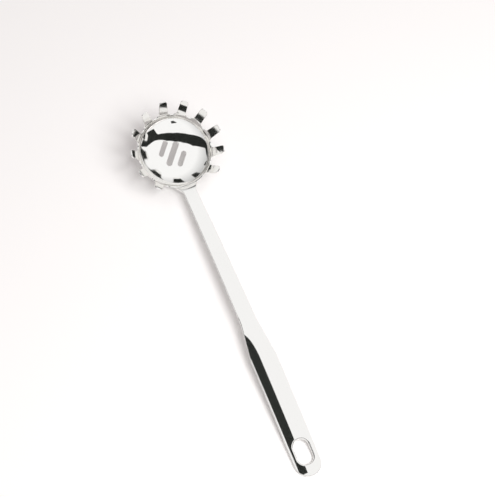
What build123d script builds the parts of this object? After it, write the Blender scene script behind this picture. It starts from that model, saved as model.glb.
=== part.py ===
from build123d import *
import math
import os

# Pasta server in polished stainless steel: a bowl with a ring of tines, welded to a long pressed handle.
# Millimetres. The bowl stands at the +Y end, the handle runs towards -Y, and +Z is up.
# Both pieces are drawn about the bowl's own axis first, and are laid down on the table at the end.

# Sheet that each piece is pressed from
bowl_sheet = 1.2
handle_sheet = 2.0

# Bowl, on its inner face: a round bottom below a straight band, whose top is the fold of the tines
fold_radius = 32.0
band_height = 6.0
band_lean_deg = 22.0
round_depth = 10.8

# Tines, which stand round the bowl and leave a wide gap at the handle
tine_count = 11
tine_pitch_deg = 27.4
tine_length = 17.0
tine_lean_deg = 27.0
tine_root_width = 8.2
tine_tip_width = 7.0
tine_corner_radius = 2.4
valley_dip = 1.6
valley_flat_width = 0.4

# Drain slots in the bottom of the bowl
middle_slot_length = 22.4
middle_slot_width = 5.0
side_slot_length = 14.2
side_slot_width = 4.2
slot_spacing = 9.1
slot_stagger = 1.25
slot_turn_deg = 53.0

# Handle, from the front of its flat strap to its round end
handle_length = 271.0
handle_rise_deg = 21.0
handle_bow = 7.0
strap_front_width = 11.6
strap_back_width = 14.1
strap_length = 134.0
shoulder_length = 32.0
shoulder_radius = 38.0
grip_width = 22.5
grip_crown = 2.1
edge_chamfer = 0.6

# Hanging hole near the end of the grip
hole_length = 20.7
hole_width = 13.4
hole_corner_radius = 6.2
hole_end_margin = 9.9
hole_lip_radius = 1.5

# Tab of the handle that wraps the outside of the bowl, and the neck that rises from it and lands in the strap
tab_width = 20.0
tab_height = 14.0
tab_corner_radius = 5.0
neck_straight_length = 2.6
neck_flare_length = 6.5
neck_fillet_radius = 4.0
neck_bend_radius = 9.0
neck_rise = 6.1
neck_land = 2.6

# Spot welds between tab and bowl
weld_diameter = 4.0
weld_depth = 0.6
weld_drop = 8.6
weld_spacing = 6.0

# Overrun of every cutting shape past what it cuts
overrun = 5.0


def polar(length, angle_deg):
    """A step of the given length at the given angle above level, as (outwards, upwards)."""
    return length * math.cos(math.radians(angle_deg)), length * math.sin(math.radians(angle_deg))


def side_point(outwards, upwards):
    """A point of the mirror plane, on the handle's side of the bowl."""
    return Vector(0, -outwards, upwards)


# Places on the bowl's inner profile, as distances from the axis and heights over the fold
band_slope_deg = 90 - band_lean_deg
tine_slope_deg = 90 - tine_lean_deg
band_foot_radius = fold_radius - band_height * math.tan(math.radians(band_lean_deg))
ball_radius = (band_foot_radius**2 + round_depth**2) / (2 * round_depth)
ball_height = ball_radius - round_depth - band_height
ball_to_band = fold_radius * math.sin(math.radians(band_slope_deg)) + polar(ball_height, band_slope_deg)[0]
tip_radius = fold_radius + tine_length * math.cos(math.radians(tine_slope_deg))
rim_height = -valley_dip * math.sin(math.radians(band_slope_deg))
bowl_depth = band_height + round_depth


def wall_places(gap):
    """Corners of the wall's profile at a distance out from the bowl's inner face."""
    ball = ball_radius + gap
    foot_slope_deg = band_slope_deg - math.degrees(math.acos((ball_to_band + gap) / ball))
    foot_out, foot_up = polar(ball, foot_slope_deg - 90)
    down_out, down_up = polar(bowl_depth + overrun, band_slope_deg - 180)
    tine_out, tine_up = polar(gap, -tine_lean_deg)
    top_out, top_up = polar(tine_length + bowl_sheet, tine_slope_deg)
    fold_turn_deg = (tine_slope_deg - band_slope_deg) / 2
    fold_gap = gap / math.cos(math.radians(fold_turn_deg))
    fold_out, fold_up = polar(fold_gap, fold_turn_deg - band_lean_deg)
    return {
        "below": (foot_out + down_out, 0, ball_height + foot_up + down_up),
        "foot": (foot_out, 0, ball_height + foot_up),
        "fold": (fold_radius + fold_out, 0, fold_up),
        "top": (fold_radius + tine_out + top_out, 0, tine_up + top_up),
    }


def wall_solid(gap, top):
    """Everything inside the face at a distance out from the bowl's inner face, up to a named corner's height.

    It is the ball of the round bottom inside the cones of band and tines, where the band's cone goes on down.
    """
    face = wall_places(gap)
    corners = ["below", "fold", "top"]
    upwards = [face[corner] for corner in corners[:corners.index(top) + 1]]
    axis_bottom = (0, 0, face["below"][2])
    axis_top = (0, 0, face[top][2])
    cones = revolve(make_face(Polyline(axis_bottom, *upwards, axis_top, axis_bottom)), Axis.Z)
    return cones & Pos(0, 0, ball_height) * Rot(90, 0, 0) * Sphere(ball_radius + gap)


def wall_shell(near_gap, far_gap, top):
    """Shell between two distances out from the bowl's inner face, up to a named corner's height."""
    return wall_solid(far_gap, top) - wall_solid(near_gap, top)


def tine_blank():
    """Outline of one tine with half of the rounded valley on each side, drawn flat from the fold up."""
    valley_middle = fold_radius * math.tan(math.radians(tine_pitch_deg / 2))
    valley_radius = valley_middle - (tine_root_width + valley_flat_width) / 2
    half_root = tine_root_width / 2
    right = [(valley_middle, -valley_dip), (half_root, -valley_dip), (tine_tip_width / 2, tine_length)]
    left = [(-x, y) for x, y in reversed(right)]
    corner_radii = [valley_radius, tine_corner_radius, tine_corner_radius, valley_radius]
    above = FilletPolyline(*right, *left, radius=corner_radii)
    base = -valley_dip - overrun
    below = Polyline(left[-1], (-valley_middle, base), (valley_middle, base), right[0])
    return make_face([above, below])


def make_bowl():
    """Press the bowl: a full shell with its tine band, kept below the rim and inside the tines' outlines."""
    depth = bowl_depth + overrun
    below_rim = Pos(0, 0, rim_height) * Cylinder(
        tip_radius + overrun, depth, align=(Align.CENTER, Align.CENTER, Align.MAX))
    fold_plane = Plane(origin=(0, fold_radius, 0), x_dir=(-1, 0, 0)).rotated((-90 - tine_lean_deg, 0, 0))
    blank = extrude(fold_plane * tine_blank(), overrun, both=True)
    first_turn_deg = -tine_pitch_deg * (tine_count - 1) / 2
    tines = [Rot(0, 0, first_turn_deg + tine_pitch_deg * index) * blank for index in range(tine_count)]
    bowl = wall_shell(0, bowl_sheet, "top") & below_rim.fuse(*tines)
    return bowl - drain_slots(depth)


def drain_slots(depth):
    """Cutters of the three slanting slots, a long one between two short ones that step along it."""
    slots = SlotOverall(middle_slot_length, middle_slot_width)
    for side in (-1, 1):
        place = Pos(side * slot_stagger, side * slot_spacing)
        slots += place * SlotOverall(side_slot_length, side_slot_width)
    return Pos(0, 0, -depth) * Rot(0, 0, slot_turn_deg) * extrude(slots, depth)


# Places on the handle: the bend where the line of the tab meets the line of the strap, and the bowed strap
bow_turn_deg = math.degrees(2 * math.atan(2 * handle_bow / handle_length))
front_slope_deg = handle_rise_deg + bow_turn_deg
wall_reach, _, wall_height = wall_places(bowl_sheet)["foot"]
bend_turn_deg = band_slope_deg - front_slope_deg
bend_tangent = neck_bend_radius * math.tan(math.radians(bend_turn_deg / 2))
tab_line = side_point(wall_reach, wall_height)
bend = tab_line + side_point(*polar(neck_rise + bend_tangent, band_slope_deg))
strap_front = bend + side_point(*polar(bend_tangent + neck_land, front_slope_deg))
strap_reach = -strap_front.Y
grip_end = strap_front + side_point(*polar(handle_length, handle_rise_deg))
bow_top = (strap_front + grip_end) / 2 + side_point(*polar(handle_bow, handle_rise_deg + 90))
bow_line = ThreePointArc(strap_front, bow_top, grip_end)
shoulder_start_share = strap_length / handle_length
shoulder_end_share = (strap_length + shoulder_length) / handle_length
hole_middle_share = 1 - (hole_end_margin + hole_length / 2) / handle_length
chord_plane = Plane(origin=strap_front, x_dir=(1, 0, 0)).rotated((-handle_rise_deg, 0, 0))


def bow_plane(share):
    """Plane square to the handle at a share of its length: X across it, Y out of its top face."""
    return Plane(origin=bow_line @ share, x_dir=(1, 0, 0), z_dir=bow_line % share)


def under(share):
    """Point of the sheet's lower face at a share of the handle's length."""
    return bow_plane(share).from_local_coords((0, -handle_sheet, 0))


def strap_sheet():
    """Sheet of neck and strap: the handle's side view, one sheet thick, carried across the tab's width."""
    tab_foot = tab_line + side_point(*polar(handle_sheet, -band_lean_deg))
    bend_gap = handle_sheet / math.cos(math.radians(bend_turn_deg / 2))
    under_bend = bend + side_point(*polar(bend_gap, bend_turn_deg / 2 + front_slope_deg - 90))
    half_share = shoulder_start_share / 2
    shoulder_top = bow_line @ shoulder_start_share
    shoulder_under = under(shoulder_start_share)
    side_view = [
        FilletPolyline(tab_line, bend, strap_front, radius=neck_bend_radius),
        ThreePointArc(strap_front, bow_line @ half_share, shoulder_top),
        Line(shoulder_top, shoulder_under),
        ThreePointArc(shoulder_under, under(half_share), under(0)),
        FilletPolyline(under(0), under_bend, tab_foot, radius=neck_bend_radius - handle_sheet),
        Line(tab_foot, tab_line),
    ]
    return extrude(make_face(side_view), tab_width / 2, both=True, dir=(1, 0, 0))


def grip_section(place, crown):
    """Section of the pressed sheet in a plane square to the handle, with its top face crowned."""
    half = (grip_width + overrun) / 2
    drop = crown * (half / (grip_width / 2)) ** 2
    top = Bezier((-half, -drop), (0, drop), (half, -drop))
    bottom = Bezier((half, -drop - handle_sheet), (0, drop - handle_sheet), (-half, -drop - handle_sheet))
    return place * make_face([top, Line(top @ 1, bottom @ 0), bottom, Line(bottom @ 1, top @ 0)])


def grip_sheet():
    """Sheet of shoulder and grip: a loft from a flat section through a growing crown, past the round end."""
    growth_shares = ((0, 0), (0.15, 0), (0.4, 0.2), (0.7, 0.7), (1, 1))
    grip_shares = (0.1, 0.4, 0.7, 1)
    shoulder = shoulder_end_share - shoulder_start_share
    sections = [grip_section(bow_plane(shoulder_start_share + shoulder * way), grip_crown * growth)
                for way, growth in growth_shares]
    sections += [grip_section(bow_plane(shoulder_end_share + (1 - shoulder_end_share) * way), grip_crown)
                 for way in grip_shares]
    sections += [grip_section(bow_plane(1).offset(overrun), grip_crown)]
    return loft(sections)


def handle_outline():
    """Plan outline of the handle, which flares at the neck and the shoulder and ends in a half circle."""
    half_grip = grip_width / 2
    flare_start = neck_straight_length + neck_flare_length
    right = FilletPolyline(
        (tab_width / 2, strap_reach), (tab_width / 2, flare_start),
        (strap_front_width / 2, neck_straight_length), (strap_front_width / 2, 0),
        (strap_back_width / 2, -strap_length), (half_grip, -strap_length - shoulder_length),
        (half_grip, half_grip - handle_length),
        radius=[neck_fillet_radius, neck_fillet_radius, 0, shoulder_radius, shoulder_radius])
    left = mirror(right, Plane.YZ)
    end = ThreePointArc(right @ 1, (0, -handle_length), left @ 1)
    return make_face([right, end, left, Line(left @ 0, right @ 0)])


def hanging_hole():
    """Cutter of the hanging hole, square to the grip at the hole's middle."""
    level = bow_plane(hole_middle_share).rotated((90, 0, 0))
    return extrude(level * RectangleRounded(hole_width, hole_length, hole_corner_radius), overrun, both=True)


def top_edges(sheet):
    """Edges between the top face of strap or grip and a side: those that only one top face has."""
    least = math.cos(math.radians(band_slope_deg))
    tops = [face for face in sheet.faces() if face.normal_at().dot(chord_plane.z_dir) > least]
    edges = [edge for face in tops for edge in face.edges() if edge.center().Y < -strap_reach]
    return [edge for edge in edges if edges.count(edge) == 1]


def tab_sheet():
    """Tab on the outside of the bowl: a shell one handle sheet thick, cut to a rounded front outline."""
    shell = wall_shell(bowl_sheet, bowl_sheet + handle_sheet, "fold")
    outline = RectangleRounded(tab_width, tab_height, tab_corner_radius)
    front = Plane(origin=(0, 0, bend.Z - tab_height / 2), x_dir=(1, 0, 0), z_dir=(0, -1, 0))
    return shell & extrude(front * outline, strap_reach)


def make_handle():
    """Press the handle: strap and grip cut to outline and pierced, with its tab wrapped on the bowl."""
    blank = extrude(chord_plane * handle_outline(), strap_reach, both=True)
    sheet = (strap_sheet() + grip_sheet()) & blank
    sheet = chamfer(top_edges(sheet), edge_chamfer)
    sheet -= hanging_hole()
    hole_middle = bow_line @ hole_middle_share
    hole_edges = [edge for edge in top_edges(sheet)
                  if (edge.center() - hole_middle).length < (hole_length + hole_end_margin) / 2]
    sheet = fillet(hole_edges, hole_lip_radius)
    return (sheet - wall_solid(bowl_sheet, "fold")) + tab_sheet()


def make_welds():
    """Spot welds in a row across the round wall: plugs of metal sealed in the joint of tab and bowl."""
    height = ball_height + weld_drop
    joint_radius = ball_radius + bowl_sheet
    welds = []
    for across in (-weld_spacing, 0, weld_spacing):
        reach = math.sqrt(joint_radius**2 - height**2 - across**2)
        spoke = Plane(origin=(0, 0, ball_height), z_dir=(across, -reach, -height))
        inner_end = spoke.offset(joint_radius - weld_depth)
        welds.append(extrude(inner_end * Circle(weld_diameter / 2), 2 * weld_depth))
    return Compound(welds)


def lay_down(pieces, handle):
    """Turn the pieces so that bowl and grip end stand on the table, and put the origin under the middle."""
    hole_middle = bow_line @ hole_middle_share
    tab_edges = Compound([edge for edge in handle.edges() if edge.center().Y > -wall_reach])
    end_edges = Compound([edge for edge in handle.edges() if edge.center().Y < hole_middle.Y])
    tilt = handle_rise_deg
    for _ in range(4):
        under_ball = ball_height * math.cos(math.radians(tilt)) - ball_radius - bowl_sheet
        under_tab = (Rot(tilt, 0, 0) * tab_edges).bounding_box().min.Z
        under_end = (Rot(tilt, 0, 0) * end_edges).bounding_box().min.Z
        tilt += math.degrees((under_end - min(under_ball, under_tab)) / (strap_reach + handle_length))
    turned = [Rot(tilt, 0, 0) * piece for piece in pieces]
    box = Compound(turned).bounding_box()
    middle = box.center()
    return [Pos(-middle.X, -middle.Y, -box.min.Z) * piece for piece in turned]


weld_plugs = make_welds()
claw_bowl = make_bowl() - weld_plugs
handle = make_handle() - weld_plugs
claw_bowl, handle, weld_plugs = lay_down([claw_bowl, handle, weld_plugs], handle)

os.makedirs("parts", exist_ok=True)
for name, piece in (("claw_bowl", claw_bowl), ("handle", handle), ("spot_welds", weld_plugs)):
    piece.label = name
    export_step(piece, f"parts/{name}.step")
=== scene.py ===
import math

import bpy
import numpy as np
from mathutils import Matrix, Vector


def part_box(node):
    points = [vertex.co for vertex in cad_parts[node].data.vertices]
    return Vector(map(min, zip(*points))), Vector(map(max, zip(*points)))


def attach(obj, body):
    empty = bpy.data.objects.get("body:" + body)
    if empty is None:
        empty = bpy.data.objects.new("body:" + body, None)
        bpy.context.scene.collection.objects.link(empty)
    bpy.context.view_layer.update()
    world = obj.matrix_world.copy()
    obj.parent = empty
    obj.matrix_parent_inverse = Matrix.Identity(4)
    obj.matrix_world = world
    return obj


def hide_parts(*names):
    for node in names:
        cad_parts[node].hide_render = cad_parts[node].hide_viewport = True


# Pasta server in mirror-polished stainless steel, lying on a white table.
# Shapes are worked out in millimetres about the bowl's own axis, with the fold of the tines at height zero
# and the handle towards -Y, and are then laid down on the table where the CAD frame has them.

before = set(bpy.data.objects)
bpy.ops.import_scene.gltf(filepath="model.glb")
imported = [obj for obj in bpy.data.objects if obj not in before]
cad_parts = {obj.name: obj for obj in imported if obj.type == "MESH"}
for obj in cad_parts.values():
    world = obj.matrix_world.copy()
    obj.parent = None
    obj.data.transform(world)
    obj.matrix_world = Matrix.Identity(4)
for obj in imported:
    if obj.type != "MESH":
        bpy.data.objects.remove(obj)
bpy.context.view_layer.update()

MM = 0.001

# Sheet that each piece is pressed from, and the rounding of its polished edges
BOWL_SHEET = 1.2
HANDLE_SHEET = 2.0
BOWL_EDGE = 0.35
HANDLE_EDGE = 0.6
HOLE_LIP = 1.5
UNDER_EDGE = 0.3

# Bowl, on its inner face
FOLD_RADIUS = 32.0
BAND_HEIGHT = 6.0
BAND_SLOPE = math.radians(68.0)
ROUND_DEPTH = 10.8
FOLD_ROUNDING = 3.0
CORNER_LENGTH = 0.5

# Tines
TINES = 11
TINE_PITCH = math.radians(27.4)
TINE_LENGTH = 17.0
TINE_SLOPE = math.radians(63.0)
TINE_ROOT_WIDTH = 8.2
TINE_TIP_WIDTH = 7.0
TINE_CORNER = 2.4
VALLEY_DIP = 1.6
VALLEY_RADIUS = 3.5

# Drain slots: length, width, shift along the slots and place beside the middle
SLOT_TURN = math.radians(53.0)
SLOTS = ((22.4, 5.0, 0.0, 0.0), (14.2, 4.2, 1.25, 9.1), (14.2, 4.2, -1.25, -9.1))

# Handle, by its length along the sheet from the front of the strap
HANDLE_LENGTH = 271.0
HANDLE_FRONT_SLOPE = math.radians(26.91)
HANDLE_END_SLOPE = math.radians(15.09)
STRAP_LENGTH = 134.0
SHOULDER_LENGTH = 32.0
STRAP_FRONT_HALF = 5.8
STRAP_BACK_HALF = 7.05
GRIP_HALF = 11.25
GRIP_CROWN = 2.1
NECK_LAND = 2.6
NECK_BEND_RADIUS = 9.0
NECK_RISE = 6.1
NECK_FLARE = 7.3
WIDTH_SMOOTHING = 1.5
TAB_HALF = 10.0
TAB_DROP = 5.0
TAB_CORNER = 5.0
HOLE_LENGTH = 20.7
HOLE_WIDTH = 13.4
HOLE_CORNER = 6.2
HOLE_MARGIN = 9.9

# How far the facets of the bowl's node stay above its round bottom
FACET_SAG = 0.04

# Pitch of the grids that the sheets are made on, and the share of it below which an edge cell is dropped
BOWL_PITCH = 0.6
HANDLE_PITCH = 0.45
NARROWEST_CELL = 0.35

# How often a grid point is pulled to the edge, and the gentlest slope of the distance that it is pulled by
EDGE_PULLS = 5
GENTLEST_SLOPE = 0.2

# Turn that lays the tab's foot and the grip's end down on the table
LAY_DOWN = math.radians(22.671)


def unit(vectors):
    """Vectors divided by their length."""
    return vectors / np.maximum(np.linalg.norm(vectors, axis=-1, keepdims=True), 1e-12)


def partials(function, flat, step=0.01):
    """Central differences of a function of flat points, along the first and the second coordinate."""
    first = np.array([step, 0.0])
    second = np.array([0.0, step])
    along = (function(flat + first) - function(flat - first)) / (2 * step)
    across = (function(flat + second) - function(flat - second)) / (2 * step)
    return along, across


def grid_cells(shape):
    """Corner numbers of the cells of a grid of points, in rows and columns."""
    number = np.arange(shape[0] * shape[1]).reshape(shape[:2])
    corners = [number[:-1, :-1], number[1:, :-1], number[1:, 1:], number[:-1, 1:]]
    return np.stack(corners, -1).reshape(-1, 4)


def round_join(first, second, radius):
    """Distance into the union of two shapes, given the distances into each.

    The inner corner is filled by an arc: the length of both distances, each past the radius, less the radius.
    """
    reach = np.stack([radius + first, radius + second], -1).clip(0)
    return np.linalg.norm(reach, axis=-1) - np.maximum(radius, -np.maximum(first, second))


def round_corner(first, second, radius):
    """Distance into the overlap of two shapes, given the distances into each.

    The outer corner is cut to an arc: the radius less the length of what both distances lack of it.
    """
    lack = np.stack([radius - first, radius - second], -1).clip(0)
    return np.maximum(radius, np.minimum(first, second)) - np.linalg.norm(lack, axis=-1)


def pressed_sheet(name, surface, outline, low, high, pitch, sheet):
    """Closed sheet of metal over a flat blank.

    surface gives the place of flat points on the face that shows, and outline gives their distance inside
    the cut edge and the rounding of that edge. A grid covers the blank less the rounding. Its points within
    half a pitch of that line are pulled onto it along the distance's slope, cells with one corner missing
    become triangles, and the same grid, one sheet lower, is the other face. Rings of points round the edge
    join both: a quarter circle outwards and down, a straight, and a small quarter circle back in.
    """
    def inset(flat):
        distance, rounding = outline(flat)
        return distance - rounding

    steps = [np.arange(low[axis], high[axis], pitch) for axis in (0, 1)]
    flat = np.stack(np.meshgrid(*steps, indexing="ij"), -1)
    along, across = partials(inset, flat)
    steep = np.maximum(np.hypot(along, across), GENTLEST_SLOPE)
    depth = inset(flat) / steep
    near = np.abs(depth) < pitch / 2
    kept = depth > -pitch / 2
    edge = flat[near]
    for _ in range(EDGE_PULLS):
        along, across = partials(inset, edge)
        steep = np.maximum(along**2 + across**2, GENTLEST_SLOPE**2)
        edge = edge - (inset(edge) / steep)[:, None] * np.stack([along, across], -1)
    flat[near] = edge

    # Where two points in a row were pulled to nearly the same place, the outer one goes
    rows, columns = np.nonzero(near & (depth < 0))
    outer = flat[rows, columns]
    along, across = partials(inset, outer)
    mostly_along = np.abs(along) > np.abs(across)
    row_step = np.where(mostly_along, np.sign(along), 0).astype(int)
    column_step = np.where(mostly_along, 0, np.sign(across)).astype(int)
    inner_rows = np.clip(rows + row_step, 0, flat.shape[0] - 1)
    inner_columns = np.clip(columns + column_step, 0, flat.shape[1] - 1)
    step = np.linalg.norm(flat[inner_rows, inner_columns] - outer, axis=-1)
    double = near[inner_rows, inner_columns] & (step < NARROWEST_CELL * pitch)
    kept[rows[double], columns[double]] = False

    corners = grid_cells(flat.shape)
    present = kept.reshape(-1)[corners]
    quads = corners[present.all(1)]
    three = present.sum(1) == 3
    triples = [np.delete(corners[three & ~present[:, gone]], gone, 1) for gone in range(4)]
    triangles = np.concatenate(triples)
    used, where = np.unique(np.concatenate([quads.ravel(), triangles.ravel()]), return_inverse=True)
    quads, triangles = where[:quads.size].reshape(-1, 4), where[quads.size:].reshape(-1, 3)
    flat = flat.reshape(-1, 2)[used]

    along, across = partials(surface, flat)
    normal = unit(np.cross(along, across))
    if normal[:, 2].sum() < 0:
        normal, quads, triangles = -normal, quads[:, ::-1], triangles[:, ::-1]
    top = surface(flat)
    under = top - sheet * normal

    starts = np.concatenate([quads.ravel(), triangles.ravel()])
    ends = np.concatenate([np.roll(quads, -1, 1).ravel(), np.roll(triangles, -1, 1).ravel()])
    count = len(flat)
    open_side = ~np.isin(starts * count + ends, ends * count + starts)
    starts, ends = starts[open_side], ends[open_side]
    rim, where = np.unique(np.concatenate([starts, ends]), return_inverse=True)
    starts_rim, ends_rim = where[:len(starts)], where[len(starts):]
    slope_along, slope_across = partials(inset, flat[rim])
    tangent = along[rim] * -slope_across[:, None] + across[rim] * slope_along[:, None]
    outwards = unit(np.cross(tangent, normal[rim]))
    downhill = -(along[rim] * slope_along[:, None] + across[rim] * slope_across[:, None])
    outwards *= np.sign((outwards * downhill).sum(1))[:, None]
    rounding = outline(flat[rim])[1]

    rings = []
    for turn in np.radians([22.5, 45.0, 67.5, 90.0]):
        rings.append((rounding * math.sin(turn), rounding * (1 - math.cos(turn)), turn))
    for turn in np.radians([90.0, 45.0, 0.0]):
        out = rounding - UNDER_EDGE + UNDER_EDGE * math.sin(turn)
        down = sheet - UNDER_EDGE * (1 - math.cos(turn))
        rings.append((out, down, math.pi - turn))
    points, normals = [top, under], [normal, -normal]
    layers = [rim]
    for out, down, turn in rings:
        layers.append(2 * count + (len(layers) - 1) * len(rim) + np.arange(len(rim)))
        out, down = np.reshape(out, (-1, 1)), np.reshape(down, (-1, 1))
        points.append(top[rim] + outwards * out - normal[rim] * down)
        normals.append(normal[rim] * math.cos(turn) + outwards * math.sin(turn))
    layers.append(count + rim)
    walls = [np.stack([above[ends_rim], above[starts_rim], below[starts_rim], below[ends_rim]], -1)
             for above, below in zip(layers, layers[1:])]
    quads = np.concatenate([quads, count + quads[:, ::-1]] + walls)
    triangles = np.concatenate([triangles, count + triangles[:, ::-1]])
    return new_piece(name, np.concatenate(points), quads, triangles, np.concatenate(normals))


def new_piece(name, points, quads, triangles, normals):
    """Mesh object from points and normals in millimetres about the bowl's axis, laid down on the table."""
    mesh = bpy.data.meshes.new(name)
    turn = np.array(Matrix.Rotation(LAY_DOWN, 3, "X"))
    places = points @ turn.T * MM + HEAD_PLACE
    mesh.from_pydata(places.tolist(), [], quads.tolist() + triangles.tolist())
    mesh.shade_smooth()
    mesh.normals_split_custom_set_from_vertices(unit(normals @ turn.T).tolist())
    piece = bpy.data.objects.new(name, mesh)
    bpy.context.scene.collection.objects.link(piece)
    return piece


# Bowl's profile by length along the inner face: the slope rises evenly over the round bottom, stays the same
# over the band, and turns to the tines' slope over the fold. Reach and height are its running sums, which go
# on a little past the tines.
BALL_FOOT_RADIUS = FOLD_RADIUS - BAND_HEIGHT / math.tan(BAND_SLOPE)
BALL_RADIUS = (BALL_FOOT_RADIUS**2 + ROUND_DEPTH**2) / (2 * ROUND_DEPTH)
BALL_HEIGHT = BALL_RADIUS - ROUND_DEPTH - BAND_HEIGHT
BALL_TURN = math.asin(BALL_FOOT_RADIUS / BALL_RADIUS)
FOLD_AT = BALL_RADIUS * BALL_TURN + BAND_HEIGHT / math.sin(BAND_SLOPE)


def running_sum(values, steps):
    """Sum of values along even steps, by the trapezium rule, starting from zero."""
    return np.concatenate([[0], np.cumsum((values[1:] + values[:-1]) / 2 * steps)])


PROFILE_SPARE = 6
PROFILE_COUNT = 8001
PROFILE_AT = np.linspace(0, FOLD_AT + TINE_LENGTH + PROFILE_SPARE, PROFILE_COUNT)
PROFILE_STATIONS = [0, BALL_RADIUS * BALL_TURN, BALL_RADIUS * BALL_TURN + CORNER_LENGTH,
                    FOLD_AT - FOLD_ROUNDING / 2, FOLD_AT + FOLD_ROUNDING / 2]
PROFILE_SLOPES = [0, BALL_TURN, BAND_SLOPE, BAND_SLOPE, TINE_SLOPE]
PROFILE_SLOPE = np.interp(PROFILE_AT, PROFILE_STATIONS, PROFILE_SLOPES)
PROFILE_STEP = PROFILE_AT[1]
PROFILE_REACH = running_sum(np.cos(PROFILE_SLOPE), PROFILE_STEP)
PROFILE_HEIGHT = running_sum(np.sin(PROFILE_SLOPE), PROFILE_STEP)
PROFILE_HEIGHT -= np.interp(FOLD_AT, PROFILE_AT, PROFILE_HEIGHT)
# Radius in the flat blank: its logarithm grows with length over reach, which keeps small squares square
BLANK_LOG = running_sum(1 / PROFILE_REACH[1:], PROFILE_STEP)
BLANK_RADIUS = np.concatenate([[0], PROFILE_REACH[1] * np.exp(BLANK_LOG)])


def profile_length(flat):
    """Length along the profile at flat points, from their radius in the blank."""
    return np.interp(np.hypot(flat[..., 0], flat[..., 1]), BLANK_RADIUS, PROFILE_AT)


def bowl_surface(flat):
    """Inner face of the bowl: the profile turned about the axis, at the azimuth of the flat point."""
    length = profile_length(flat)
    reach = np.interp(length, PROFILE_AT, PROFILE_REACH)
    height = np.interp(length, PROFILE_AT, PROFILE_HEIGHT)
    azimuth = np.arctan2(flat[..., 0], flat[..., 1])
    return np.stack([reach * np.sin(azimuth), reach * np.cos(azimuth), height], -1)


def bowl_outline(flat):
    """Distance inside the cut edge of the bowl.

    The band is joined to the nearest tine by the valley's arcs, less the slots. A tine is its tapering sides
    and its end with rounded corners.
    """
    length = profile_length(flat)
    reach = np.interp(length, PROFILE_AT, PROFILE_REACH)
    azimuth = np.arctan2(flat[..., 0], flat[..., 1])
    nearest = np.clip(np.round(azimuth / TINE_PITCH), -(TINES // 2), TINES // 2)
    off_middle = azimuth - nearest * TINE_PITCH
    across = np.abs(reach * np.sin(off_middle))
    across = np.where(np.abs(off_middle) > math.pi / 2, reach, across)
    up = length - FOLD_AT
    taper = (TINE_ROOT_WIDTH - TINE_TIP_WIDTH) / 2 / (TINE_LENGTH + VALLEY_DIP)
    side = TINE_ROOT_WIDTH / 2 - taper * (up + VALLEY_DIP) - across
    tine = round_corner(side, TINE_LENGTH - up, TINE_CORNER)
    distance = round_join(-VALLEY_DIP - up, tine, VALLEY_RADIUS)
    along_slot = reach * np.sin(azimuth + SLOT_TURN)
    beside_slot = reach * np.cos(azimuth + SLOT_TURN)
    for slot_length, width, shift, place in SLOTS:
        beyond = np.maximum(np.abs(along_slot - shift) - (slot_length - width) / 2, 0)
        distance = np.minimum(distance, np.hypot(beyond, beside_slot - place) - width / 2)
    return distance, np.full(length.shape, BOWL_EDGE)


# Handle's centre line by length along its top face, from the front of the strap: slopes at the stations, with
# even turns between them, and running sums that go on a little past both ends. The tab lies on the bowl's
# outer face.
OUTER_RADIUS = BALL_RADIUS + BOWL_SHEET
BALL_TO_BAND = FOLD_RADIUS * math.sin(BAND_SLOPE) + BALL_HEIGHT * math.cos(BAND_SLOPE)
OUTER_TURN = BAND_SLOPE - math.acos((BALL_TO_BAND + BOWL_SHEET) / OUTER_RADIUS)
FOOT_REACH = OUTER_RADIUS * math.sin(OUTER_TURN)
FOOT_HEIGHT = BALL_HEIGHT - OUTER_RADIUS * math.cos(OUTER_TURN)
BEND_TURN = BAND_SLOPE - HANDLE_FRONT_SLOPE
BEND_END = -NECK_LAND
BEND_START = BEND_END - NECK_BEND_RADIUS * BEND_TURN
TAB_TOP = BEND_START - NECK_RISE
TAB_FOOT = TAB_TOP - TAB_DROP
LINE_SPARE = 5
LINE_COUNT = 12001
LINE_AT = np.linspace(TAB_FOOT - LINE_SPARE, HANDLE_LENGTH + LINE_SPARE, LINE_COUNT)
LINE_STATIONS = [TAB_FOOT, TAB_TOP - CORNER_LENGTH, TAB_TOP, BEND_START, BEND_END, 0, HANDLE_LENGTH]
LINE_SLOPES = [OUTER_TURN - TAB_DROP / OUTER_RADIUS, OUTER_TURN, BAND_SLOPE, BAND_SLOPE,
               HANDLE_FRONT_SLOPE, HANDLE_FRONT_SLOPE, HANDLE_END_SLOPE]
LINE_SLOPE = np.interp(LINE_AT, LINE_STATIONS, LINE_SLOPES)
LINE_STEP = LINE_AT[1] - LINE_AT[0]
LINE_REACH = running_sum(np.cos(LINE_SLOPE), LINE_STEP)
LINE_HEIGHT = running_sum(np.sin(LINE_SLOPE), LINE_STEP)
LINE_REACH += FOOT_REACH - np.interp(TAB_TOP, LINE_AT, LINE_REACH)
LINE_HEIGHT += FOOT_HEIGHT - np.interp(TAB_TOP, LINE_AT, LINE_HEIGHT)
HOLE_AT = HANDLE_LENGTH - HOLE_MARGIN - HOLE_LENGTH / 2
LEAST_CURVING = 1e-6
WIDTH_SAMPLES = 9


def smooth_step(values, start, end):
    """Rise from 0 to 1 between start and end: three times the way's square, less twice its cube."""
    way = np.clip((values - start) / (end - start), 0, 1)
    return way * way * (3 - 2 * way)


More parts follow.
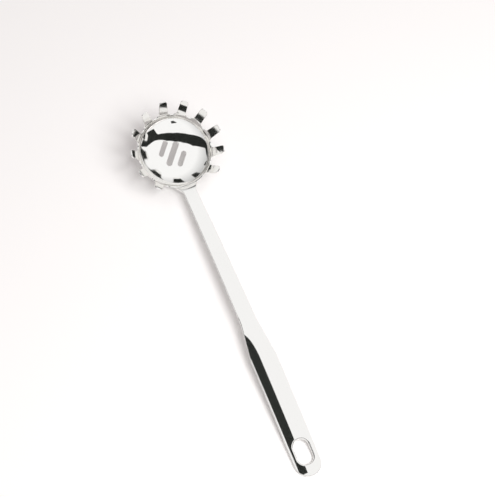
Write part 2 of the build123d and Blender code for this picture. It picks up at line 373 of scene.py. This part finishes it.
def handle_surface(flat):
    """Top face of the handle.

    The centre line is carried across: round the bowl's axis on the tab, straight on the strap, and with a
    parabolic crown that grows over the shoulder. The curving across is one over the reach on the tab, and
    fades over the bend, but never quite to zero, because it divides.
    """
    along, across = flat[..., 0], flat[..., 1]
    reach = np.interp(along, LINE_AT, LINE_REACH)
    height = np.interp(along, LINE_AT, LINE_HEIGHT)
    slope = np.interp(along, LINE_AT, LINE_SLOPE)
    curving = (1 - smooth_step(along, BEND_START, BEND_END)) / reach + LEAST_CURVING
    side = np.sin(across * curving) / curving
    inwards = (1 - np.cos(across * curving)) / curving
    growth = smooth_step(along, STRAP_LENGTH, STRAP_LENGTH + SHOULDER_LENGTH)
    drop = GRIP_CROWN * growth * (across / GRIP_HALF)**2
    return np.stack([side, -reach + inwards - drop * np.sin(slope), height - drop * np.cos(slope)], -1)


def handle_outline(flat):
    """Distance inside the cut edge of the handle.

    It is half the width less the distance across, with a half circle at the end, rounded corners at the tab's
    foot, and the distance outside the hanging hole. Half the width is the mean of a few samples along the
    handle, which smooths its corners.
    """
    along, across = flat[..., 0], np.abs(flat[..., 1])
    stations = [BEND_END - NECK_FLARE, BEND_END, 0, STRAP_LENGTH, STRAP_LENGTH + SHOULDER_LENGTH]
    halves = [TAB_HALF, STRAP_FRONT_HALF, STRAP_FRONT_HALF, STRAP_BACK_HALF, GRIP_HALF]
    shifts = np.linspace(-WIDTH_SMOOTHING, WIDTH_SMOOTHING, WIDTH_SAMPLES)
    half = sum(np.interp(along + shift, stations, halves) for shift in shifts) / WIDTH_SAMPLES
    end = GRIP_HALF - np.hypot(np.maximum(along - HANDLE_LENGTH + GRIP_HALF, 0), across)
    distance = np.where(along > HANDLE_LENGTH - GRIP_HALF, end, half - across)
    distance = round_corner(distance, along - TAB_FOOT, TAB_CORNER)
    beyond_length = np.abs(along - HOLE_AT) - HOLE_LENGTH / 2 + HOLE_CORNER
    beyond_width = across - HOLE_WIDTH / 2 + HOLE_CORNER
    hole = (np.hypot(np.maximum(beyond_length, 0), np.maximum(beyond_width, 0))
            + np.minimum(np.maximum(beyond_length, beyond_width), 0) - HOLE_CORNER)
    at_hole = hole - HOLE_LIP < distance - HANDLE_EDGE
    return np.where(at_hole, hole, distance), np.where(at_hole, HOLE_LIP, HANDLE_EDGE)


# Place of the bowl's axis over the table, from the CAD frame: the tilted round bottom is as low as the bowl's
# node, and the handle's end is as far out as its own node
BOWL_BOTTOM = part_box("claw_bowl")[0].z / MM - FACET_SAG
HEAD_HEIGHT = BOWL_BOTTOM + OUTER_RADIUS - BALL_HEIGHT * math.cos(LAY_DOWN)
END_REACH = np.interp(HANDLE_LENGTH, LINE_AT, LINE_REACH)
END_HEIGHT = np.interp(HANDLE_LENGTH, LINE_AT, LINE_HEIGHT)
END_Y = -END_REACH * math.cos(LAY_DOWN) - END_HEIGHT * math.sin(LAY_DOWN)
HEAD_PLACE = np.array([0.0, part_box("handle")[0].y - END_Y * MM, HEAD_HEIGHT * MM])

BLANK_HALF = 78
HANDLE_MARGIN = 2
HANDLE_BLANK_HALF = 13
bowl = pressed_sheet("bowl_with_tines", bowl_surface, bowl_outline, (-BLANK_HALF, -BLANK_HALF),
                     (BLANK_HALF, BLANK_HALF), BOWL_PITCH, BOWL_SHEET)
handle = pressed_sheet("handle_sheet", handle_surface, handle_outline,
                       (TAB_FOOT - HANDLE_MARGIN, -HANDLE_BLANK_HALF),
                       (HANDLE_LENGTH + HANDLE_MARGIN, HANDLE_BLANK_HALF), HANDLE_PITCH, HANDLE_SHEET)


# Sizes of the marks in the polish, in millimetres, how dull they are, and the film's noise values between
# which it dulls the steel and shows scratches. Real buffing lines are much finer than LINE_WIDTH, and too
# fine for the render, so they are drawn as coarse as they need to show.
WAVE_LENGTH = 14.0
WAVE_HEIGHT = 0.03
LINE_WIDTH = 0.25
LINE_LENGTH = 30.0
LINE_HEIGHT = 0.0004
FILM_SIZE = 22.0
SCRATCH_SPACING = 17.0
SCRATCH_WIDTH = 0.05
SCRATCH_BEND = 9.0
POLISH = 0.04
FILM_DULLING = 0.05
SCRATCH_DULLING = 0.2
DULL_FILM = (0.4, 0.7)
SCRATCHED_FILM = (0.56, 0.6)


def linear(hex_colour):
    """Linear red, green and blue of an sRGB hex value."""
    parts = [int(hex_colour[at:at + 2], 16) / 255 for at in (1, 3, 5)]
    return [part / 12.92 if part <= 0.04045 else ((part + 0.055) / 1.055)**2.4 for part in parts]


def add(tree, kind, links=None, **settings):
    """Adds a node with its settings and links. A key of links is the input's name or number."""
    node = tree.nodes.new(kind)
    for key, value in settings.items():
        setattr(node, key, value)
    for key, value in (links or {}).items():
        if isinstance(value, bpy.types.NodeSocket):
            tree.links.new(value, node.inputs[key])
        else:
            node.inputs[key].default_value = value
    return node


def lengthwise(tree, place):
    """Pattern place for marks along the handle: far stretched along Y, so that noise draws long lines."""
    stretched = add(tree, "ShaderNodeVectorMath", {0: place, 1: (1.0, LINE_WIDTH / LINE_LENGTH, 1.0)},
                    operation="MULTIPLY")
    return stretched.outputs[0]


def round_the_axis(tree, place):
    """Pattern place for marks round the bowl's axis.

    It is the distance from the axis line, with hardly any change round it, so that noise there draws rings.
    """
    axis = (0.0, -math.sin(LAY_DOWN), math.cos(LAY_DOWN))
    from_middle = add(tree, "ShaderNodeVectorMath", {0: place, 1: tuple(HEAD_PLACE)}, operation="SUBTRACT")
    arm = add(tree, "ShaderNodeVectorMath", {0: from_middle.outputs[0], 1: axis}, operation="CROSS_PRODUCT")
    radius = add(tree, "ShaderNodeVectorMath", {0: arm.outputs[0]}, operation="LENGTH")
    stretched = add(tree, "ShaderNodeVectorMath", {0: place, 1: (LINE_WIDTH / LINE_LENGTH,) * 3},
                    operation="MULTIPLY")
    rings = add(tree, "ShaderNodeVectorMath", {0: stretched.outputs[0], 1: radius.outputs["Value"]},
                operation="ADD")
    return rings.outputs[0]


def polished_steel(name, colour, lines):
    """Stainless steel, pressed and then buffed to a mirror.

    Fine buffing lines, along the handle and round the bowl, stretch highlights a little across them. Waves of
    a few hundredths of a millimetre, left by the press, bend the mirrored bands. Wiped patches, where a cloth
    left a thin film, are a little duller, and a few hairline scratches from the kitchen drawer cross all.
    """
    material = bpy.data.materials.new(name)
    material.use_nodes = True
    tree = material.node_tree
    shader = tree.nodes["Principled BSDF"]
    place = add(tree, "ShaderNodeTexCoord").outputs["Object"]

    waves = add(tree, "ShaderNodeTexNoise", {"Vector": place, "Scale": 1 / (WAVE_LENGTH * MM),
                                             "Detail": 1.0})
    buffing = add(tree, "ShaderNodeTexNoise", {"Vector": lines(tree, place), "Scale": 1 / (LINE_WIDTH * MM),
                                               "Detail": 3.0})
    film = add(tree, "ShaderNodeTexNoise", {"Vector": place, "Scale": 1 / (FILM_SIZE * MM), "Detail": 4.0})

    # Scratches are the borders of large bent cells, and show only where the film is thick
    warped = add(tree, "ShaderNodeTexNoise", {"Vector": place, "Scale": 1 / (WAVE_LENGTH * MM)})
    bent = add(tree, "ShaderNodeVectorMath", {0: warped.outputs["Color"], 1: (SCRATCH_BEND * MM,) * 3,
                                              2: place}, operation="MULTIPLY_ADD")
    cells = add(tree, "ShaderNodeTexVoronoi", {"Vector": bent.outputs[0],
                                               "Scale": 1 / (SCRATCH_SPACING * MM)},
                feature="DISTANCE_TO_EDGE")
    hairline = add(tree, "ShaderNodeMapRange", {"Value": cells.outputs["Distance"], "From Min": 0.0,
                                                "From Max": SCRATCH_WIDTH / SCRATCH_SPACING,
                                                "To Min": 1.0, "To Max": 0.0})
    broken = add(tree, "ShaderNodeMapRange", {"Value": film.outputs["Fac"], "From Min": SCRATCHED_FILM[0],
                                              "From Max": SCRATCHED_FILM[1]})
    scratch = add(tree, "ShaderNodeMath", {0: hairline.outputs[0], 1: broken.outputs[0]},
                  operation="MULTIPLY")

    pressed = add(tree, "ShaderNodeBump", {"Height": waves.outputs["Fac"], "Strength": 1.0,
                                           "Distance": WAVE_HEIGHT * MM})
    lined = add(tree, "ShaderNodeBump", {"Height": buffing.outputs["Fac"], "Strength": 1.0,
                                         "Distance": LINE_HEIGHT * MM, "Normal": pressed.outputs[0]})
    filmed = add(tree, "ShaderNodeMapRange", {"Value": film.outputs["Fac"], "From Min": DULL_FILM[0],
                                              "From Max": DULL_FILM[1], "To Min": POLISH,
                                              "To Max": POLISH + FILM_DULLING})
    dulled = add(tree, "ShaderNodeMath", {0: scratch.outputs[0], 1: SCRATCH_DULLING, 2: filmed.outputs[0]},
                 operation="MULTIPLY_ADD")
    tree.links.new(dulled.outputs[0], shader.inputs["Roughness"])
    tree.links.new(lined.outputs[0], shader.inputs["Normal"])
    shader.inputs["Metallic"].default_value = 1.0
    shader.inputs["Base Color"].default_value = (*linear(colour), 1.0)
    return material


bowl_steel = polished_steel("stainless_steel_buffed_in_rings", "#f5f4f2", round_the_axis)
handle_steel = polished_steel("stainless_steel_buffed_lengthwise", "#f1f0ee", lengthwise)
for piece, node, steel in ((bowl, "claw_bowl", bowl_steel), (handle, "handle", handle_steel)):
    piece.data.materials.append(steel)
    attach(piece, "root")
    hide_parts(node)
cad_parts["spot_welds"].data.materials.clear()
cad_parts["spot_welds"].data.materials.append(handle_steel)


# Studio: how much the white table is lifted for the eye and the steel, how far it reaches, and the light that
# the tent gives to matt surfaces, to the steel from its dark back, and to the steel elsewhere
TABLE_LIFT = 0.12
TABLE_HALF = 4000.0
TENT_FILL = 0.39
TENT_BACK = 0.58
TENT_WHITE = 1.03


def seen_or_mirrored(tree):
    """One for what the eye or a reflection meets, and zero for light that falls on matt surfaces."""
    ray = add(tree, "ShaderNodeLightPath")
    return add(tree, "ShaderNodeMath", {0: ray.outputs["Is Camera Ray"], 1: ray.outputs["Is Glossy Ray"]},
               operation="MAXIMUM").outputs[0]


def matt(name, colour):
    """Matt material without any sheen."""
    material = bpy.data.materials.new(name)
    material.use_nodes = True
    surface = material.node_tree.nodes["Principled BSDF"]
    surface.inputs["Base Color"].default_value = (*linear(colour), 1.0)
    surface.inputs["Roughness"].default_value = 1.0
    return material


def table_paper():
    """Matt white paper. What the eye and the steel see of it is lifted a little, which keeps shadows."""
    material = matt("matt_white_paper", "#f4f3f2")
    tree = material.node_tree
    paper = tree.nodes["Principled BSDF"]
    paper.inputs["Specular IOR Level"].default_value = 0.0
    paper.inputs["Emission Color"].default_value = (1, 1, 1, 1)
    lift = add(tree, "ShaderNodeMath", {0: seen_or_mirrored(tree), 1: TABLE_LIFT}, operation="MULTIPLY")
    tree.links.new(lift.outputs[0], paper.inputs["Emission Strength"])
    return material


def stage_sheet(name, points, faces, material):
    """Sheet of the studio from points in millimetres."""
    mesh = bpy.data.meshes.new(name)
    mesh.from_pydata((np.array(points, float) * MM).tolist(), [], faces)
    mesh.materials.append(material)
    sheet = bpy.data.objects.new(name, mesh)
    bpy.context.scene.collection.objects.link(sheet)
    return sheet


def level_corners(low, high, height):
    """Corners of a level rectangle."""
    return [(low[0], low[1], height), (high[0], low[1], height),
            (high[0], high[1], height), (low[0], high[1], height)]


stage_sheet("table", level_corners((-TABLE_HALF, -TABLE_HALF), (TABLE_HALF, TABLE_HALF), 0), [range(4)],
            table_paper())

# Black cloths of the studio, which only reflections show. One hangs low over the grip and makes the stripe
# along its crown.
black_cloth = matt("matt_black_cloth", "#272b29")
GRIP_CLOTH_HEIGHT = 60.0
GRIP_CLOTH_LOW = (-32.5, -165)
GRIP_CLOTH_HIGH = (-2.3, -8)
grip_cloth = stage_sheet("black_cloth_over_grip",
                         level_corners(GRIP_CLOTH_LOW, GRIP_CLOTH_HIGH, GRIP_CLOTH_HEIGHT), [range(4)],
                         black_cloth)

# The other hangs in an arc round the front of the table, on a dome, and makes the dark band across the bowl.
# Its hems are given as the bowl sees them: the elevation at azimuths from -Y towards +X, in degrees.
DOME_RADIUS = 1500.0
CLOTH_COLUMNS = 120
CLOTH_ROWS = 8
UPPER_HEM = ((-135, 30), (-112, 34), (-99, 33), (-89, 41), (-70, 52), (-33, 55.5), (-2, 52.4), (20, 44.4),
             (34, 33.4), (46, 25.7), (60, 19.5), (69, 14.2), (76, 2))
LOWER_HEM = ((-135, 0), (-97, 0), (-93, 24), (-75, 26.3), (-61, 30.4), (-44, 34.7), (-24, 35.2),
             (-2, 33.2), (17, 27.5), (33, 20.7), (35, 5), (50, 0), (76, 0))


def directions(azimuth, elevation):
    """Unit vectors at azimuths from -Y towards +X and elevations, in degrees."""
    azimuth, elevation = np.radians(azimuth), np.radians(elevation)
    level = np.cos(elevation)
    return np.stack([level * np.sin(azimuth), -level * np.cos(azimuth), np.sin(elevation)], -1)


BOWL_PLACE = HEAD_PLACE / MM
hem_azimuth = np.linspace(UPPER_HEM[0][0], UPPER_HEM[-1][0], CLOTH_COLUMNS)
upper, lower = [np.interp(hem_azimuth, *np.array(hem, float).T) for hem in (UPPER_HEM, LOWER_HEM)]
hem_share = np.linspace(0, 1, CLOTH_ROWS)[:, None]
front_elevation = lower + (upper - lower) * hem_share
front_ways = directions(hem_azimuth + 0 * hem_share, front_elevation)
front_points = (BOWL_PLACE + DOME_RADIUS * front_ways).reshape(-1, 3)
front_cloth = stage_sheet("black_cloth_round_the_front", front_points,
                          grid_cells(front_ways.shape)[:, ::-1].tolist(), black_cloth)
for cloth in (grip_cloth, front_cloth):
    cloth.visible_camera = False
    cloth.visible_diffuse = False
    cloth.visible_shadow = False
    cloth.visible_transmission = False

# Light tent: white to the eye and in reflections, and a softer fill on matt surfaces. It is lit from the
# front and the right. The part of a direction that points to the lit side says how white the tent is there:
# white from LIT_PART on, and greyest from zero down.
LIT_SIDE = (0.3, -0.45, 0.84)
LIT_PART = 0.45
world = bpy.data.worlds.new("light_tent")
bpy.context.scene.world = world
world.use_nodes = True
tent = world.node_tree
seen = seen_or_mirrored(tent)
direction = add(tent, "ShaderNodeTexCoord").outputs["Generated"]
towards_light = add(tent, "ShaderNodeVectorMath", {0: direction, 1: LIT_SIDE}, operation="DOT_PRODUCT")
mirrored = add(tent, "ShaderNodeMapRange", {"Value": towards_light.outputs["Value"], "From Min": 0.0,
                                            "From Max": LIT_PART, "To Min": TENT_BACK, "To Max": TENT_WHITE})
strength = add(tent, "ShaderNodeMapRange", {"Value": seen, "To Min": TENT_FILL,
                                            "To Max": mirrored.outputs[0]})
tent.links.new(strength.outputs[0], tent.nodes["Background"].inputs["Strength"])
# Inputs 6 and 7 and output 2 of the mix node are its colours
tint = add(tent, "ShaderNodeMix", {"Factor": seen, 6: (*linear("#fff6f5"), 1.0), 7: (1.0, 1.0, 1.0, 1.0)},
           data_type="RGBA")
tent.links.new(tint.outputs[2], tent.nodes["Background"].inputs["Color"])

# Large square lamp, turned to the middle of the table. Reflections don't show it.
LAMP_PLACE = np.array([330.0, -650.0, 1290.0])
LAMP_SIZE = 850
LAMP_WATTS = 18.5
lamp_data = bpy.data.lights.new("softbox_right_of_the_camera", "AREA")
lamp_data.energy = LAMP_WATTS
lamp_data.size = LAMP_SIZE * MM
lamp = bpy.data.objects.new("softbox_right_of_the_camera", lamp_data)
lamp.location = Vector(LAMP_PLACE) * MM
lamp.rotation_euler = Vector(LAMP_PLACE).to_track_quat("Z", "Y").to_euler()
lamp.visible_glossy = False
bpy.context.scene.collection.objects.link(lamp)

# Round black flag on the way from the lamp to the bowl, which keeps the light from falling through the drain
# slots. Only the lamp meets it.
FLAG_DISTANCE = 45.0
FLAG_RADIUS = 34.0
FLAG_CORNERS = 48
flag_middle = BOWL_PLACE + unit(LAMP_PLACE - BOWL_PLACE) * FLAG_DISTANCE
flag_ways = directions(np.linspace(0, 360, FLAG_CORNERS, endpoint=False), np.zeros(FLAG_CORNERS))
flag = stage_sheet("black_flag_over_bowl", flag_middle + FLAG_RADIUS * flag_ways, [range(FLAG_CORNERS)],
                   black_cloth)
flag.visible_camera = False
flag.visible_diffuse = False
flag.visible_glossy = False
flag.visible_transmission = False

# Camera at the photograph's angle: it looks at a point of the table, a little rolled. Azimuth is from -Y
# towards +X, and the focal length is in pixels of the photograph.
CAMERA_AIM = np.array([28.1, 36.9, 0.0])
CAMERA_AZIMUTH = -27.64
CAMERA_ELEVATION = 60.18
CAMERA_DISTANCE = 1199.5
CAMERA_ROLL = 6.67
CAMERA_FOCAL_PIXELS = 1412.0
PHOTO_WIDTH = 495.0
SENSOR_WIDTH = 36.0

camera_data = bpy.data.cameras.new("camera")
camera_data.sensor_width = SENSOR_WIDTH
camera_data.sensor_fit = "HORIZONTAL"
camera_data.lens = CAMERA_FOCAL_PIXELS / PHOTO_WIDTH * SENSOR_WIDTH
camera = bpy.data.objects.new("camera", camera_data)
to_camera = directions(CAMERA_AZIMUTH, CAMERA_ELEVATION)
camera.location = (CAMERA_AIM + CAMERA_DISTANCE * to_camera) * MM
level_view = Vector(to_camera).to_track_quat("Z", "Y").to_matrix()
camera.rotation_euler = (level_view @ Matrix.Rotation(math.radians(CAMERA_ROLL), 3, "Z")).to_euler()
bpy.context.scene.collection.objects.link(camera)
bpy.context.scene.camera = camera

bpy.context.scene.view_settings.view_transform = "Standard"
bpy.context.view_layer.update()
